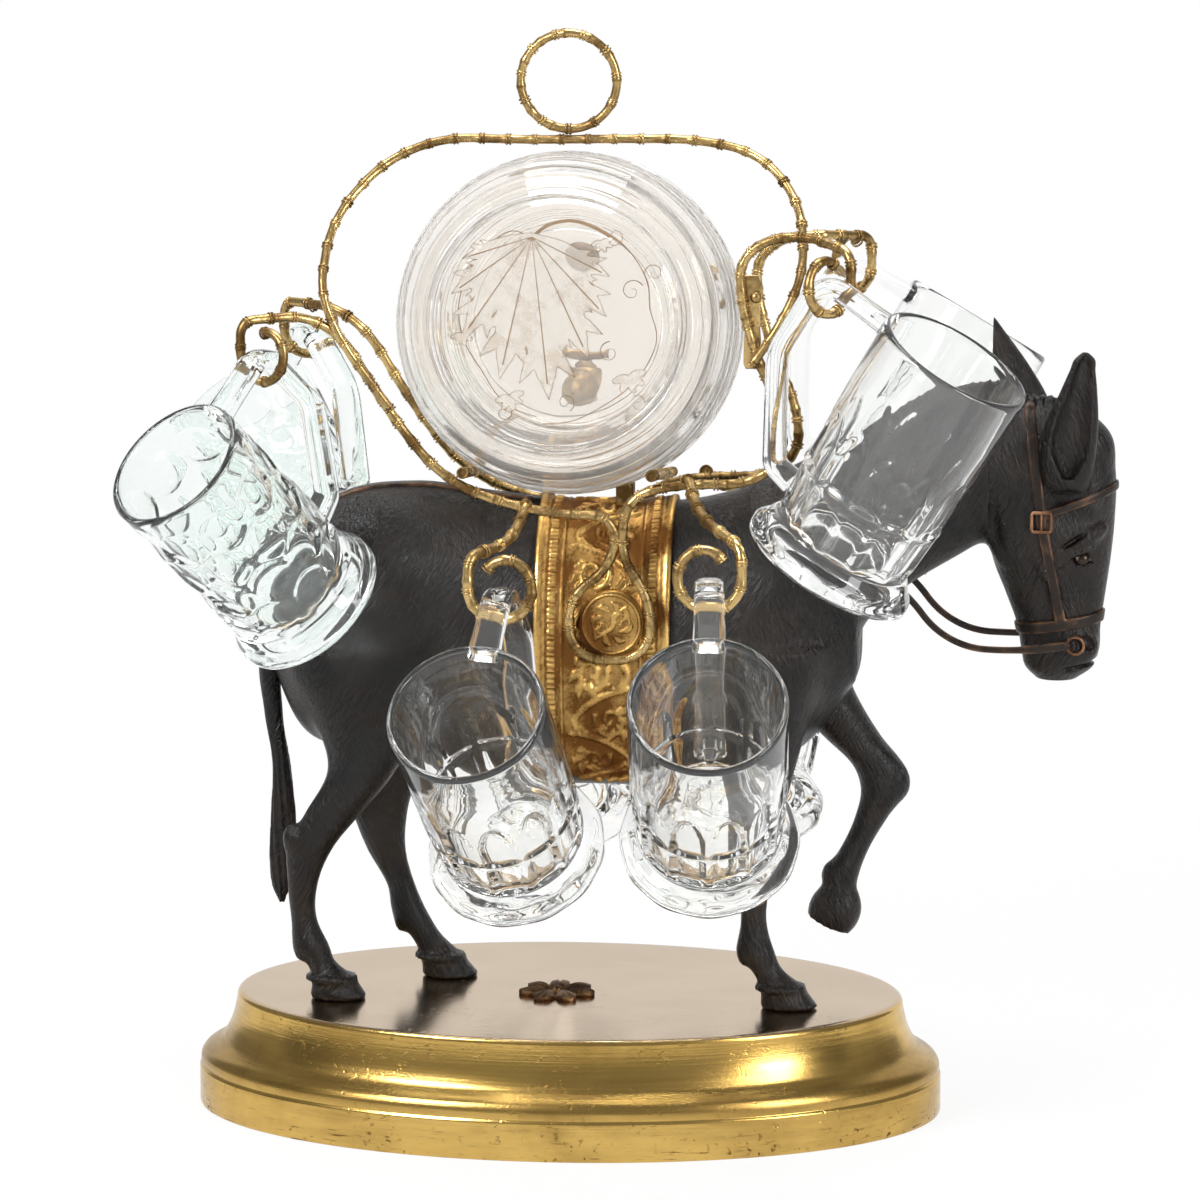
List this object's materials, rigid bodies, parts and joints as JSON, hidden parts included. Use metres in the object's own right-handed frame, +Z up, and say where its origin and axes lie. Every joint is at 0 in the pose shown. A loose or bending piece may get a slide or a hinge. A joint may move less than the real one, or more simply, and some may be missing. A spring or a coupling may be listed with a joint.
{
  "type": "liqueur stand",
  "caption": "Antique liqueur stand: a patinated pack donkey on an oval brass base carries a ribbed glass barrel in bamboo-pattern rods, with glass mugs hung on hooks.",
  "frame": {"origin": "middle of the base's underside, on the surface it stands on", "axes": "+Z up, +X from the tail to the nose, +Y from the near flank (shown in the picture) to the far flank"},
  "size_m": [0.2728, 0.2238, 0.3071],
  "materials": {
    "polished_brass": "polished, with brown tarnish",
    "gilded_cloth": "embossed, orange gold",
    "brown_bronze": "brown patina, semi-matt",
    "dark_patina": "black-brown patina with brush marks",
    "copper_strap": "rubbed copper brown",
    "clear_glass": "clear, pressed",
    "ribbed_glass": "clear, ribbed, with a matt etched leaf",
    "board": "stained hardboard",
    "cork": "natural cork",
    "steel_stud": "plain"
  },
  "bodies": {
    "stand": {"barrel_cork": "cork", "base_board": "board", "base_rosette": "brown_bronze", "base_shell": "polished_brass", "bit_rings": "copper_strap", "bracket_screw": "polished_brass", "bridle": "copper_strap", "bridle_buckles": "copper_strap", "carrying_arch": "polished_brass", "carrying_ring": "polished_brass", "crupper_strap": "copper_strap", "donkey_body": "dark_patina", "donkey_head": "dark_patina", "far_ear": "dark_patina", "far_fore_leg": "dark_patina", "far_hind_leg": "dark_patina", "far_medallion": "gilded_cloth", "far_rein": "copper_strap", "far_scroll": "polished_brass", "glass_barrel": "ribbed_glass", "hoof_studs": "steel_stud", "left_tie": "polished_brass", "lower_hooks": "polished_brass", "near_ear": "dark_patina", "near_fore_leg": "dark_patina", "near_hind_leg": "dark_patina", "near_medallion": "gilded_cloth", "near_rein": "copper_strap", "near_scroll": "polished_brass", "right_tie": "polished_brass", "saddle_cloth": "gilded_cloth", "side_bracket": "polished_brass", "support_bar": "polished_brass", "tail": "dark_patina", "tap_body": "polished_brass"},
    "far_lower_left": {"far_lower_left_mug": "clear_glass"},
    "far_lower_right": {"far_lower_right_mug": "clear_glass"},
    "far_upper_left": {"far_upper_left_mug": "clear_glass"},
    "far_upper_right": {"far_upper_right_mug": "clear_glass"},
    "near_lower_left": {"near_lower_left_mug": "clear_glass"},
    "near_lower_right": {"near_lower_right_mug": "clear_glass"},
    "near_upper_left": {"near_upper_left_mug": "clear_glass"},
    "near_upper_right": {"near_upper_right_mug": "clear_glass"},
    "tap_plug": {"tap_key": "polished_brass"}
  },
  "joints": [
    {"name": "far_lower_left_swing", "type": "hinge", "parent": "stand", "child": "far_lower_left", "pos_m": [-0.0128, 0.063, 0.14324], "axis": [0.9848, 0.1736, 0], "range_deg": [-6, 25]},
    {"name": "far_lower_right_swing", "type": "hinge", "parent": "stand", "child": "far_lower_right", "pos_m": [0.0448, 0.063, 0.14689], "axis": [0.9976, -0.0698, 0], "range_deg": [-6, 25]},
    {"name": "far_upper_left_swing", "type": "hinge", "parent": "stand", "child": "far_upper_left", "pos_m": [-0.0797, 0.05, 0.2059], "axis": [0.7431, 0.6691, 0], "range_deg": [-2, 25]},
    {"name": "far_upper_right_swing", "type": "hinge", "parent": "stand", "child": "far_upper_right", "pos_m": [0.0764, 0.05, 0.22795], "axis": [0.309, -0.9511, 0], "range_deg": [0, 25]},
    {"name": "near_lower_left_swing", "type": "hinge", "parent": "stand", "child": "near_lower_left", "pos_m": [-0.0128, -0.063, 0.15174], "axis": [-0.9848, 0.1736, 0], "range_deg": [-6, 25]},
    {"name": "near_lower_right_swing", "type": "hinge", "parent": "stand", "child": "near_lower_right", "pos_m": [0.0448, -0.063, 0.15539], "axis": [-0.9976, -0.0698, 0], "range_deg": [-6, 25]},
    {"name": "near_upper_left_swing", "type": "hinge", "parent": "stand", "child": "near_upper_left", "pos_m": [-0.0797, -0.05, 0.2144], "axis": [-0.7431, 0.6691, 0], "range_deg": [-6, 25]},
    {"name": "near_upper_right_swing", "type": "hinge", "parent": "stand", "child": "near_upper_right", "pos_m": [0.0764, -0.05, 0.23645], "axis": [-0.309, -0.9511, 0], "range_deg": [0, 25]},
    {"name": "tap_turn", "type": "hinge", "parent": "stand", "child": "tap_plug", "pos_m": [0.0006, 0.04428, 0.19734], "axis": [0, 0.1564, 0.9877], "range_deg": [0, 90]}
  ]
}
